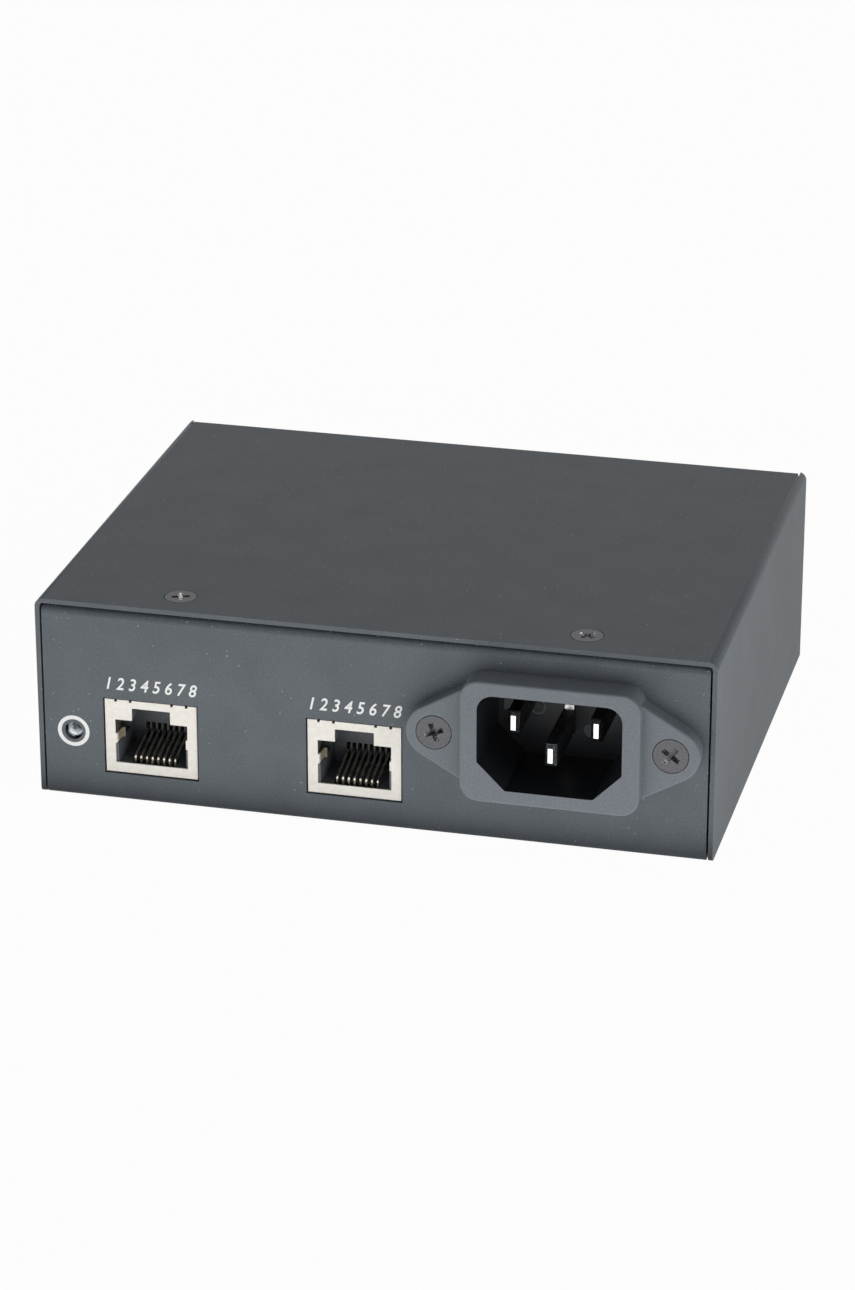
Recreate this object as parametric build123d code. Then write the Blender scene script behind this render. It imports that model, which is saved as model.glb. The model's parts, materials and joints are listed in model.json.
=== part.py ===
from build123d import *
import os

# Power-over-Ethernet injector in a folded steel case, with its inner power supply.
# Millimetres. The origin is the centre of the case's underside, +Z is up, +X is right
# and the front, with the mains inlet and both jacks, faces -Y.

# ---- Case ----
case_width = 117.0
case_depth = 90.0
case_height = 36.0
sheet = 0.8              # thickness of both folded sheets
seam = 0.35              # gap between the cover and the chassis
cover_bend = 1.5         # outer radius of the bends along both sides
rear_bend = 1.1          # outer radius of the bend above the rear wall
panel_bend = 1.4         # outer radius at the top of the front panel
bottom_bend = 1.0        # outer radius at the bottom's front and rear bends
panel_corner = 0.5       # radius of the front panel's upper corners
skirt_corner = 1.0       # radius of the cover's lower front corners
flange_depth = 14.0      # chassis flange under the cover's front
lip_height = 10.8        # chassis lip inside the rear wall
relief = 0.4             # slit at each end of the rear bend
fit = 0.1                # gap of parts that slide into each other
thread_gap = 0.02        # gap between a screw and its thread's hole

# ---- Screws: (thread radius, head radius, edge under the head's rim, length) ----
cover_screw = (1.5, 2.7, 0.25, 4.6)
inlet_screw = (1.5, 2.95, 0.3, 9.0)
board_screw_radius = 1.5
board_screw_head = 2.8
head_gap = 0.14          # ring gap round a countersunk head
nut_height = 2.4
nut_radius = 3.1         # over the corners
top_screw_left = 23.85   # from the case's left side
top_screw_right = 23.1   # from the case's right side
top_screw_inset = 6.45   # behind the front
rear_screw_inset = 18.0  # from both sides
rear_screw_height = 5.6
cover_dimple_gap = 0.9   # cover's pressed wall, measured at the screw's shank
cover_dimple_wall = 0.35  # below the end of the screw's taper
nest_gap = 0.2           # between the two nested dimples
overlap = 0.05           # how far a pressed dimple reaches into its sheet
neck_wall = 1.6          # chassis dimple past the cover's, round the thread
neck_height = 1.5
stack = 2 * sheet + seam  # cover, gap and chassis together

# ---- Circuit board ----
standoff_height = 2.8
standoff_radius = 2.75
board_thickness = 1.6
board_side_gap = 3.0     # to the chassis edges
board_rear_gap = 3.4     # to the chassis lip
board_front_gap = 0.4    # to the front panel
hole_inset = 5.0         # board holes from the board's edges
film = 0.25              # insulating sheet under the board

# ---- Jacks ----
jack_width = 16.2
jack_height = 13.4
jack_depth = 18.0
jack_setback = 0.25      # shield's face behind the panel's face
jack_gap = 0.28          # panel cut-out round the shield
jack_1_from_left = 19.95
jack_pitch = 35.65       # from jack 1 to jack 2
shield_wall = 0.3
plug_width = 12.0        # plug bay of the insert
plug_floor = 1.75        # bay's floor above the board
plug_height = 7.95
latch_width = 6.8        # slot for the plug's latch, above the bay
latch_height = 2.3
window_margin = 0.4      # shield's window past the bay at each side
bay_depth = 9.8
top_notches = (-6.2, -3.6, 3.7, 6.3)  # small notches in the face's top edge, from its centre
notch_width = 0.5
notch_height = 0.4
spring_height = 1.7      # grounding springs, folded in from the window's edges
spring_centre = 6.2      # above the board
spring_root = 0.3        # narrowing of the window at each spring
spring_reach = 0.85      # of the bent end, in from the window's edge
spring_length = 3.15
pocket_low = 5.1         # hollow beside each spring, above the board
pocket_depth = 7.2
comb_height = 3.7        # slots for the wires' tips, above the bay's floor
comb_depth = 2.2
channel_drop = 0.5       # cover of the tails' channel under the bay's floor
contact_count = 8
contact_pitch = 1.016
contact_radius = 0.23
contact_bend_depth = 2.3  # bend of the wires behind the panel's face
contact_rise = 1.9        # height gained by the wires from bend to comb
contact_run = 7.7         # horizontal length of the slanted wires
contact_tip = 1.6         # level ends of the wires in the comb
tail_rows = (10.4, 12.9)  # soldered rows, behind the panel's face
tail_reach = 1.2          # below the board

# ---- Status light ----
led_from_left = 6.2
led_height = 12.1
led_radius = 1.45
led_hole_radius = 1.6

# ---- Mains inlet ----
inlet_from_right = 26.9
inlet_height = 19.95
ear_spacing = 40.0
ear_radius = 4.85
block_width = 29.6       # flange's middle block
block_height = 18.8
flange_thickness = 3.0
rim_width = 30.4
rim_height = 21.7
rim_proud = 2.0
rim_corner = 3.2
rim_edge = 0.35          # rounding of the rim's and the ears' front edges
cavity_width = 24.5
cavity_height = 16.9
cavity_corner = 2.8
cavity_chamfer = 4.8
cavity_soften = 0.6      # rounding of the chamfers' corners
cavity_floor = 11.5      # behind the panel's face
mark_depth = 0.25        # moulded marks in the cavity's floor
ring_mark = (-5.5, -0.2, 1.45, 0.95)  # x and z from the inlet's centre, outer and inner radius
round_mark = (3.6, -3.6, 1.25)        # x, z, radius
square_mark = (-10.4, -0.2, 1.9, 2.1)  # x, z, width, height
inlet_rear_wall = 2.0
shell_width = 27.2       # body behind the panel
shell_height = 19.8
shell_gap = 0.25
pin_width = 2.0
pin_height = 4.0
pin_spacing = 14.0
pin_raise = 2.1          # line and neutral above the inlet's centre
earth_drop = 1.75        # earth below the inlet's centre
pin_tip = 0.7            # line and neutral tips in front of the panel's face
earth_tip = 3.9
tip_taper = 0.7
tab_length = 8.0
tab_thickness = 0.8
wire_radius = 1.0

# ---- Wiring ----
stud_x_gap = 4.5         # earth stud from the board's notch
stud_y = 19.0            # behind the front
header_x_gap = 13.0      # mains header from the board's right edge
header_pitch = 5.0
plug_top = 17.0
ring_reach = 9.5         # ring terminal's length from the stud
receptacle = (3.8, 5.4)  # width and height of a tab's insulated receptacle
receptacle_round = 0.8
receptacle_end = 1.0     # behind the tab's end
stud_radius = 2.0
stud_height = 8.0
ring_radius = 4.0
ring_thickness = 0.8
ring_tongue = 3.2        # width of the ring terminal's tongue
stud_nut_radius = 4.0
stud_nut_height = 3.2

# ---- Parts on the board: sizes are width, depth and height ----
header_size = (10.0, 7.0, 7.0)
header_wall = 0.8
fuse_size = (2.4, 10.0, 4.2)     # radius, glass length, height of its axis
fuse_cap = (2.6, 5.0)            # radius and length
clip_size = (6.0, 4.0, 6.0)
varistor_disc = (5.2, 4.0, 6.6)  # radius, thickness, height of its centre
x_capacitor_size = (18.0, 8.4, 14.5)
choke_size = (18.0, 5.0, 17.0)
choke_window = (5.0, 4.0, 13.0)  # half width, and from the board to its bottom and top
coil_half = (3.2, 4.2)           # half width and half depth of a choke winding
coil_span = (4.4, 12.6)          # from the board to its bottom and top
rectifier_size = (3.6, 15.0, 14.0)
rectifier_pitch = 3.8
bulk_can = (8.0, 25.0)           # radius and height
output_can = (5.0, 20.0)
sink_size = (2.0, 22.0, 22.0)
sink_foot = (6.0, 1.5)
device_hole = 17.0               # above the board
core_size = (22.0, 10.0, 21.0)
core_foot = 3.0                  # below the core
chip_sizes = {"control": (9.6, 6.4, 3.4), "optocoupler": (8.6, 6.4, 3.4), "controller": (9.9, 5.0, 2.0)}
data_block = (12.4, 9.6, 6.2)
drum = (5.5, 4.8, 2.0, 8.0)      # flange radius, coil radius, flange thickness, coil height

# ---- Derived places ----
front = -case_depth / 2
rear = case_depth / 2
left = -case_width / 2
right = case_width / 2
chassis_width = case_width - 2 * (sheet + seam)
chassis_rear = rear - sheet - seam
flange_top = case_height - sheet - seam
board_bottom = sheet + standoff_height
board_top = board_bottom + board_thickness
jack_1_x = left + jack_1_from_left
jack_2_x = jack_1_x + jack_pitch
led_x = left + led_from_left
inlet_x = right - inlet_from_right
inlet_rear = cavity_floor + inlet_rear_wall
board_left = -chassis_width / 2 + board_side_gap
board_right = chassis_width / 2 - board_side_gap
board_front = front + sheet + board_front_gap
board_rear = chassis_rear - sheet - board_rear_gap
notch_left = inlet_x - ear_spacing / 2 - ear_radius + 2.5
notch_rear = front + inlet_rear + tab_length + 4.5


# ---- Helpers ----
def block(x0, x1, y0, y1, z0, z1):
    """Box between two corners."""
    return Pos((x0 + x1) / 2, (y0 + y1) / 2, (z0 + z1) / 2) * Box(x1 - x0, y1 - y0, z1 - z0)


def standing(radius, height, x, y, z):
    """Upright cylinder whose base is at z."""
    return Pos(x, y, z + height / 2) * Cylinder(radius, height)


def front_plane(depth):
    """Plane at a depth behind the panel's face: local x is right, local y is up."""
    return Plane(origin=(0, front + depth, 0), x_dir=(1, 0, 0), z_dir=(0, -1, 0))


def inward(sketch, depth, length):
    """Sketch drawn on the front and extruded towards the rear."""
    return extrude(front_plane(depth) * sketch, -length)


def side_profile(sketch, width):
    """Sketch of (y, z) extruded to a width about the centre line."""
    plane = Plane(origin=(-width / 2, 0, 0), x_dir=(0, 1, 0), z_dir=(1, 0, 0))
    return extrude(plane * sketch, width)


def tube(points, bend, radius):
    """Round wire through points, with one bend radius."""
    path = FilletPolyline(*points, radius=bend)
    return sweep(Plane(origin=path @ 0, z_dir=path % 0) * Circle(radius), path=path)


def save(node, shape):
    export_step(shape, f"parts/{node}.step")


# ---- Fasteners ----
def cross_recess(size, depth):
    """Two crossed slots that narrow towards the bottom."""
    slot = loft([Rectangle(size, size * 0.26), Pos(0, 0, -depth) * Rectangle(size * 0.45, size * 0.2)])
    return slot + Rot(0, 0, 90) * slot


def countersunk_screw(spec, turn=20):
    """Screw whose head is flush with local z = 0 and whose shank points down."""
    radius, head, edge, length = spec
    cone = head - radius
    rim = Pos(0, 0, -edge / 2) * Cylinder(head, edge)
    taper = Pos(0, 0, -edge - cone / 2) * Cone(radius, head, cone)
    shank = Pos(0, 0, -(edge + cone + length) / 2) * Cylinder(radius, length - edge - cone)
    return rim + taper + shank - Rot(0, 0, turn) * cross_recess(head * 1.15, head * 0.5)


def sink(spec, gap):
    """Hollow for a countersunk head and its shank, down to where the shank ends."""
    radius, head, edge, length = spec
    cone = head - radius
    mouth = Pos(0, 0, (1 - edge) / 2) * Cylinder(head + gap, 1 + edge)
    taper = Pos(0, 0, -edge - cone / 2) * Cone(radius + gap, head + gap, cone)
    return mouth + taper + Pos(0, 0, -length / 2) * Cylinder(radius + gap, length)


def dimple(spec, wall, outer_gap, top):
    """Material pressed down round a countersunk hole, from a sheet's lower face."""
    radius, head, edge = spec[:3]
    low = edge + head - radius + wall
    base = radius + outer_gap
    spread = low - top
    return Pos(0, 0, -top - spread / 2) * Cone(base, base + spread, spread)


def top_screw_places():
    y = front + top_screw_inset
    return [Pos(left + top_screw_left, y, case_height), Pos(right - top_screw_right, y, case_height)]


def rear_screw_places():
    turn = Rot(-90, 0, 0)
    x = right - rear_screw_inset
    return [Pos(-x, rear, rear_screw_height) * turn, Pos(x, rear, rear_screw_height) * turn]


def screw_group(places, spec):
    return Compound(children=[place * countersunk_screw(spec, 20 + 35 * i) for i, place in enumerate(places)])


# ---- Case ----
def cover_dimple():
    return dimple(cover_screw, cover_dimple_wall, cover_dimple_gap, sheet - overlap)


def nest(extra):
    """The cover's dimple grown by a gap, for the chassis dimple that it sits in."""
    return dimple(cover_screw, cover_dimple_wall + nest_gap, cover_dimple_gap + extra, sheet - overlap)


def chassis_dimple():
    """Pressed seat with a threaded neck, in the sheet under the cover."""
    spread = cover_screw[0] + cover_dimple_gap + sheet + neck_wall
    middle = stack - overlap + neck_height / 2
    return Pos(0, 0, -middle) * Cone(spread - neck_height, spread, neck_height)


def chassis_sink():
    thread = Pos(0, 0, -4) * Cylinder(cover_screw[0] + thread_gap, 8)
    return nest(nest_gap) + thread


def cover():
    """Top, both sides and the rear wall folded from one sheet, with slits at the rear corners."""
    outer = Pos(0, case_height / 2) * Rectangle(case_width, case_height)
    outer = fillet(outer.vertices().group_by(Axis.Y)[-1], cover_bend)
    hollow = Pos(0, (case_height - sheet) / 2) * Rectangle(case_width - 2 * sheet, case_height - sheet)
    hollow = fillet(hollow.vertices().group_by(Axis.Y)[-1], cover_bend - sheet)
    body = inward(outer - hollow, 0, case_depth)
    corners = body.edges().filter_by(Axis.X).group_by(Axis.Y)[0].group_by(Axis.Z)[0]
    body = fillet(corners, skirt_corner)

    wall_width = case_width - 2 * cover_bend
    fold = rear_bend + 0.9
    slit = wall_width / 2 + relief
    body -= block(-slit, slit, rear - fold, rear + 1, case_height - 3, case_height + 1)
    bent = Pos(rear - fold / 2, case_height / 2) * Rectangle(fold, case_height)
    bent = fillet(bent.vertices().sort_by(lambda v: v.X + v.Y)[-1], rear_bend)
    inner = Pos(rear - sheet - fold / 2, (case_height - sheet) / 2) * Rectangle(fold, case_height - sheet)
    inner = fillet(inner.vertices().sort_by(lambda v: v.X + v.Y)[-1], rear_bend - sheet)
    body += side_profile(bent - inner, wall_width)
    for place in top_screw_places() + rear_screw_places():
        body += place * cover_dimple()
    for place in top_screw_places() + rear_screw_places():
        body -= place * sink(cover_screw, head_gap)
    return body


def panel_outline():
    """Front panel with its rounded upper corners."""
    outline = Pos(0, flange_top / 2) * Rectangle(chassis_width, flange_top)
    return fillet(outline.vertices().group_by(Axis.Y)[-1], panel_corner)


def inlet_shell_outline(gap):
    shell = Pos(inlet_x, inlet_height) * Rectangle(shell_width + 2 * gap, shell_height + 2 * gap)
    low = shell.vertices().group_by(Axis.Y)[0]
    return chamfer(low, cavity_chamfer)


def panel_openings():
    """Cut-outs of both jacks, the light, the inlet and its screws."""
    jack_z = board_top + jack_height / 2
    openings = Sketch()
    for x in (jack_1_x, jack_2_x):
        openings += Pos(x, jack_z) * Rectangle(jack_width + 2 * jack_gap, jack_height + 2 * jack_gap)
    openings += Pos(led_x, led_height) * Circle(led_hole_radius)
    openings += inlet_shell_outline(shell_gap)
    for side in (-1, 1):
        openings += Pos(inlet_x + side * ear_spacing / 2, inlet_height) * Circle(inlet_screw[0] + fit)
    return openings


def chassis():
    """Front panel, top flange, bottom and rear lip folded from one sheet."""
    length = chassis_rear - front
    middle = (chassis_rear + front) / 2
    outer = Pos(middle, flange_top / 2) * Rectangle(length, flange_top)
    outer = fillet(outer.vertices().group_by(Axis.Y)[0], bottom_bend)
    outer = fillet(outer.vertices().sort_by(lambda v: v.X - v.Y)[0], panel_bend)
    inner = Pos(middle, flange_top / 2) * Rectangle(length - 2 * sheet, flange_top - 2 * sheet)
    inner = fillet(inner.vertices().group_by(Axis.Y)[0], bottom_bend - sheet)
    inner = fillet(inner.vertices().sort_by(lambda v: v.X - v.Y)[0], panel_bend - sheet)
    body = side_profile(outer - inner, chassis_width)
    body &= inward(panel_outline(), 0, length)
    body -= block(left, right, front + flange_depth, chassis_rear - sheet - 1, sheet + 1, flange_top + 1)
    body -= block(left, right, front + flange_depth, chassis_rear + 1, lip_height, flange_top + 1)
    body -= inward(panel_openings(), -1, sheet + 2)
    for place in top_screw_places() + rear_screw_places():
        body += place * chassis_dimple()
    for place in top_screw_places() + rear_screw_places():
        body -= place * chassis_sink()
    return body


# ---- Board and what carries it ----
def board_holes():
    """Four hole centres: the front right one stands behind the notch for the inlet."""
    x0 = board_left + hole_inset
    x1 = board_right - hole_inset
    y1 = board_rear - hole_inset
    between_jacks = (jack_1_x + jack_pitch / 2, board_front + hole_inset)
    return [between_jacks, (x1, notch_rear + hole_inset), (x0, y1), (x1, y1)]


def contact_xs(x):
    start = x - contact_pitch * (contact_count - 1) / 2
    return [start + i * contact_pitch for i in range(contact_count)]


def tail_places(x):
    """Where each contact's tail goes through the board, in two staggered rows."""
    return [(cx, front + tail_rows[i % 2]) for i, cx in enumerate(contact_xs(x))]


def board():
    body = block(board_left, board_right, board_front, board_rear, board_bottom, board_top)
    body -= block(notch_left, right, board_front - 1, notch_rear, board_bottom - 1, board_top + 1)
    for x, y in board_holes():
        body -= standing(board_screw_radius + fit, board_thickness + 2, x, y, board_bottom - 1)
    for x, y in tail_places(jack_1_x) + tail_places(jack_2_x):
        body -= standing(contact_radius + fit, board_thickness + 2, x, y, board_bottom - 1)
    return body


def standoffs():
    posts = []
    for x, y in board_holes():
        post = standing(standoff_radius, standoff_height, x, y, sheet)
        posts.append(post - standing(board_screw_radius + thread_gap, standoff_height, x, y, sheet + 0.4))
    return Compound(children=posts)


def board_screws():
    """Pan-head screws into the stand-offs."""
    screws = []
    reach = board_thickness + standoff_height - 0.7
    for x, y in board_holes():
        head = standing(board_screw_head, 1.9, x, y, board_top)
        head = fillet(head.edges().group_by(Axis.Z)[-1], 0.9)
        screw = head + standing(board_screw_radius, reach, x, y, board_top - reach)
        screws.append(screw - Pos(x, y, board_top + 1.9) * Rot(0, 0, 30) * cross_recess(3.0, 1.3))
    return Compound(children=screws)


def insulating_sheet():
    body = block(board_left, board_right, board_front + 1, board_rear, sheet, sheet + film)
    body -= block(notch_left - 1, right, front, notch_rear + 1, 0, 2)
    for x, y in board_holes():
        body -= standing(standoff_radius + 3 * fit, 2, x, y, 0)
    return body


# ---- Jacks ----
def plug_sketch(x, margin):
    """Plug bay and latch slot above it, seen from the front."""
    floor = board_top + plug_floor
    bay = Pos(x, floor + plug_height / 2) * Rectangle(plug_width + 2 * margin, plug_height)
    slot_height = plug_height + latch_height
    return bay + Pos(x, floor + slot_height / 2) * Rectangle(latch_width, slot_height)


def shield(x):
    """Folded shield: face, top, both sides and back, with springs that touch the plug."""
    y0 = front + jack_setback
    y1 = y0 + jack_depth
    x0 = x - jack_width / 2
    x1 = x + jack_width / 2
    z1 = board_top + jack_height
    wall = shield_wall
    body = block(x0, x1, y0, y1, board_top, z1)
    body -= block(x0 + wall, x1 - wall, y0 + wall, y1 - wall, board_top - 1, z1 - wall)
    body -= inward(plug_sketch(x, window_margin), jack_setback - 1, wall + 2)
    for place in top_notches:
        middle = x + place
        body -= block(middle - notch_width / 2, middle + notch_width / 2, y0 - 1, y0 + wall + 1,
                      z1 - notch_height, z1 + 1)
    for side in (-1, 1):
        body += Pos(0, 0, board_top + spring_centre) * spring(x, y0, side)
    return body


def spring(x, y0, side):
    """Leaf folded back from the window's edge, with its end bent towards the plug."""
    edge = side * (plug_width / 2 + window_margin)
    end = spring_length - shield_wall
    outline = [(0, 0), (spring_root, 0), (spring_root + 0.15, end), (spring_reach, end),
               (spring_reach, spring_length), (0.15, spring_length), (0, shield_wall)]
    points = [(x + edge - side * across, y0 + back) for across, back in outline]
    return extrude(Polygon(*points, align=None), spring_height / 2, both=True)


def insert(x):
    """Plastic insert with the plug bay, the comb for the wires' tips and the channel of their tails."""
    y0 = front + jack_setback + shield_wall + fit
    y1 = front + jack_setback + jack_depth - shield_wall - fit
    half = jack_width / 2 - shield_wall - fit
    top = board_top + jack_height - shield_wall - fit
    floor = board_top + plug_floor
    bend = front + contact_bend_depth
    body = block(x - half, x + half, y0, y1, board_top, top)
    body -= inward(plug_sketch(x, 0), 0, bay_depth)

    channel = contact_pitch * contact_count / 2
    body -= block(x - channel, x + channel, bend - 0.8, front + tail_rows[1] + 0.6,
                  board_top - 1, floor - channel_drop)
    body -= block(x - channel, x + channel, front, bend + 0.6, board_top + 0.6, floor + 1)
    for cx in contact_xs(x):
        groove = contact_radius + fit
        body -= block(cx - groove, cx + groove, front + bay_depth - 0.1, front + bay_depth + comb_depth,
                      floor + 0.2, floor + comb_height)

    bay_top = floor + plug_height
    for side in (-1, 1):
        inner = x + side * (plug_width / 2 - 1)
        outer = x + side * (half + 1)
        body -= block(min(inner, outer), max(inner, outer), front, y0 + pocket_depth,
                      board_top + pocket_low, bay_top)
    return body


def contacts(x):
    """Eight slanted spring wires, bent over at the front and free at the comb."""
    y = front + contact_bend_depth
    z = board_top + plug_floor + 0.5
    tip_y = y + contact_run
    tip_z = z + contact_rise
    wires = []
    for cx in contact_xs(x):
        points = [(cx, y - 0.1, z - 1.0), (cx, y, z), (cx, tip_y, tip_z),
                  (cx, tip_y + contact_tip, tip_z + 0.1)]
        wires.append(tube(points, 0.32, contact_radius))
    return Compound(children=wires)


def tails(x):
    """Fixed ends of the contact wires, from the front of the channel down through the board."""
    start = front + contact_bend_depth - 0.1
    z = board_top + plug_floor - 0.5 - contact_radius - fit - 0.25
    pins = []
    for i, (cx, y) in enumerate(tail_places(x)):
        pins.append(tube([(cx, start, z), (cx, y, z), (cx, y, board_bottom - tail_reach)], 0.6, contact_radius))
    return Compound(children=pins)


# ---- Status light ----
def led():
    """Clear 3 mm light with a domed front and a collar."""
    lens = inward(Pos(led_x, led_height) * Circle(led_radius), 0.9, 4.6)
    dome = Pos(led_x, front + 1.5, led_height) * Sphere(led_radius)
    dome &= block(led_x - 3, led_x + 3, front - 1, front + 1.5, led_height - 3, led_height + 3)
    collar = inward(Pos(led_x, led_height) * Circle(led_radius + 0.4), 4.5, 1.0)
    lead_y = front + 6.6
    leads = [block(led_x + s * 1.27 - 0.25, led_x + s * 1.27 + 0.25, front + 5.4, lead_y + 0.25,
                   led_height - 0.25, led_height + 0.25)
             + block(led_x + s * 1.27 - 0.25, led_x + s * 1.27 + 0.25, lead_y - 0.25, lead_y + 0.25,
                     board_top, led_height) for s in (-1, 1)]
    return lens + dome + collar + leads[0] + leads[1]


def led_holder():
    """Black stand that holds the light at the panel's hole, on the board."""
    body = block(led_x - 2.4, led_x + 2.4, front + 1.4, front + 5.9, board_top, led_height + 2.4)
    body -= inward(Pos(led_x, led_height) * Circle(led_radius + fit), 1, 4)
    body -= inward(Pos(led_x, led_height) * Circle(led_radius + 0.4 + fit), 4.4, 3)
    return body


# ---- Mains inlet ----
def inlet_body():
    """Moulded inlet: eared flange, raised rim, shell through the panel and an open cavity."""
    ears = [Pos(inlet_x + s * ear_spacing / 2, inlet_height) * Circle(ear_radius) for s in (-1, 1)]
    middle = Pos(inlet_x, inlet_height) * RectangleRounded(block_width, block_height, 2.0)
    plate = make_hull((ears[0] + ears[1] + middle).edges())
    body = inward(plate, -flange_thickness, flange_thickness)
    body = fillet(body.faces().sort_by(Axis.Y)[0].edges(), rim_edge)
    rim = Pos(inlet_x, inlet_height) * RectangleRounded(rim_width, rim_height, rim_corner)
    raised = inward(rim, -flange_thickness - rim_proud, flange_thickness + rim_proud)
    body += fillet(raised.faces().sort_by(Axis.Y)[0].edges(), rim_edge)
    body += inward(inlet_shell_outline(0), 0, inlet_rear)

    cavity = Pos(inlet_x, inlet_height) * Rectangle(cavity_width, cavity_height)
    cavity = chamfer(cavity.vertices().group_by(Axis.Y)[0], cavity_chamfer)
    lower = [v for v in cavity.vertices() if v.Y < inlet_height]
    cavity = fillet(lower, cavity_soften)
    cavity = fillet(cavity.vertices().group_by(Axis.Y)[-1], cavity_corner)
    mouth = flange_thickness + rim_proud + 1
    body -= inward(cavity, -mouth, cavity_floor + mouth)
    body -= inward(floor_marks(), cavity_floor - 1, 1 + mark_depth)
    for place in inlet_screw_places():
        body -= place * sink(inlet_screw, head_gap)
    for x, z, tip in inlet_pin_places():
        body -= inlet_pin(x, z, tip)
    return body


def floor_marks():
    """Moulded ring, disc and square in the floor of the cavity."""
    x, z, outer, inner = ring_mark
    ring = Pos(inlet_x + x, inlet_height + z) * (Circle(outer) - Circle(inner))
    x, z, radius = round_mark
    disc = Pos(inlet_x + x, inlet_height + z) * Circle(radius)
    x, z, width, height = square_mark
    return ring + disc + Pos(inlet_x + x, inlet_height + z) * Rectangle(width, height)


def inlet_screw_places():
    turn = Rot(90, 0, 0)
    y = front - flange_thickness
    return [Pos(inlet_x + s * ear_spacing / 2, y, inlet_height) * turn for s in (-1, 1)]


def inlet_pin_places():
    """Centre x, centre z and tip of the line, neutral and earth pins."""
    high = inlet_height + pin_raise
    low = inlet_height - earth_drop
    half = pin_spacing / 2
    return [(inlet_x - half, high, pin_tip), (inlet_x + half, high, pin_tip), (inlet_x, low, earth_tip)]


def inlet_pin(x, z, tip):
    """Flat pin with a tapered tip, and a thinner tab behind the inlet."""
    y0 = front - tip
    y1 = front + inlet_rear + 0.6
    pin = block(x - pin_width / 2, x + pin_width / 2, y0, y1, z - pin_height / 2, z + pin_height / 2)
    pin = chamfer(pin.faces().sort_by(Axis.Y)[0].edges(), tip_taper, tip_taper * 0.85)
    tab = block(x - tab_thickness / 2, x + tab_thickness / 2, y1, y1 + tab_length, z - 2, z + 2)
    hole = Pos(x, y1 + tab_length - 2, z) * Rot(0, 90, 0) * Cylinder(0.8, 4)
    return pin + tab - hole


def inlet_nuts():
    nuts = []
    for s in (-1, 1):
        centre = Pos(inlet_x + s * ear_spacing / 2, inlet_height)
        nut = centre * RegularPolygon(nut_radius, 6) - centre * Circle(inlet_screw[0] + thread_gap)
        nuts.append(inward(nut, sheet, nut_height))
    return Compound(children=nuts)


# ---- Wiring ----
def header_place():
    return (board_right - header_x_gap, notch_rear + 6.0)


def pin_tab_end():
    return front + inlet_rear + 0.6 + tab_length


def tab_connectors():
    """Insulated receptacles pushed onto the three tabs behind the inlet."""
    sleeves = []
    y1 = pin_tab_end() + receptacle_end
    y0 = y1 - tab_length - 0.4
    half_width, half_height = receptacle[0] / 2, receptacle[1] / 2
    slot_width, slot_height = tab_thickness / 2 + fit, pin_height / 2 + fit
    for x, z, _ in inlet_pin_places():
        sleeve = block(x - half_width, x + half_width, y0, y1, z - half_height, z + half_height)
        slot = block(x - slot_width, x + slot_width, y0 - 1, y1 - 0.8, z - slot_height, z + slot_height)
        sleeves.append(fillet(sleeve.edges().filter_by(Axis.Y), receptacle_round) - slot)
    return Compound(children=sleeves)


def mains_wire(side):
    """Insulated wire from an inlet tab to the plug of the mains header."""
    x = inlet_x + side * pin_spacing / 2
    z = inlet_height + pin_raise
    hx, hy = header_place()
    end_x = hx + side * header_pitch / 2
    start = pin_tab_end() + receptacle_end
    points = [(x, start, z), (x, start + 2.5, z), (end_x, hy, z + 0.5), (end_x, hy, plug_top)]
    return tube(points, 1.2, wire_radius)


def earth_post():
    """Threaded stud pressed into the bottom."""
    return standing(stud_radius, stud_height, notch_left + stud_x_gap, front + stud_y, sheet)


def earth_fixings():
    """Ring terminal and nut on the stud."""
    x = notch_left + stud_x_gap
    y = front + stud_y
    top = sheet + ring_thickness
    half = ring_tongue / 2
    ring = standing(ring_radius, ring_thickness, x, y, sheet)
    ring += block(x, x + ring_reach, y - half, y + half, sheet, top)
    ring -= standing(stud_radius + fit, 2, x, y, 0.5)
    outline = RegularPolygon(stud_nut_radius, 6) - Circle(stud_radius + thread_gap)
    nut = extrude(Pos(x, y, top) * outline, stud_nut_height)
    return Compound(children=[ring, nut])


def earth_wire():
    """Wire from the earth tab down to the ring terminal."""
    x = notch_left + stud_x_gap
    y = front + stud_y
    z = inlet_height - earth_drop
    start = pin_tab_end() + receptacle_end
    turn = start + 1.6
    low = sheet + wire_radius + fit
    points = [(inlet_x, start, z), (inlet_x, turn, z), (inlet_x, turn, low + 4), (inlet_x - 4, y, low),
              (x + ring_reach, y, low)]
    return tube(points, 1.5, wire_radius)


def mains_header():
    x, y = header_place()
    width, depth, height = header_size
    inner = (width / 2 - header_wall, depth / 2 - header_wall)
    body = on_board(x - width / 2, x + width / 2, y - depth / 2, y + depth / 2, height)
    return body - block(x - inner[0], x + inner[0], y - inner[1], y + inner[1],
                        board_top + 1, board_top + height + 1)


def mains_plug():
    x, y = header_place()
    half_width = header_size[0] / 2 - header_wall - fit
    half_depth = header_size[1] / 2 - header_wall - fit
    return block(x - half_width, x + half_width, y - half_depth, y + half_depth, board_top + 1, plug_top)


# ---- Power supply parts on the board ----
def on_board(x0, x1, y0, y1, height):
    return block(x0, x1, y0, y1, board_top, board_top + height)


def fuse_place():
    return (board_right - 3.6, notch_rear + 12.0)


def fuse_axis(shift):
    """Place on the fuse's axis, at a distance from its middle."""
    x, y = fuse_place()
    return Pos(x, y + fuse_size[1] + shift, board_top + fuse_size[2]) * Rot(90, 0, 0)


def fuse_ends():
    """Distances of both caps' middles from the fuse's middle."""
    reach = (fuse_size[1] + fuse_cap[1]) / 2
    return (-reach, reach)


def fuse_tube():
    return fuse_axis(0) * Cylinder(fuse_size[0], fuse_size[1])


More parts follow.
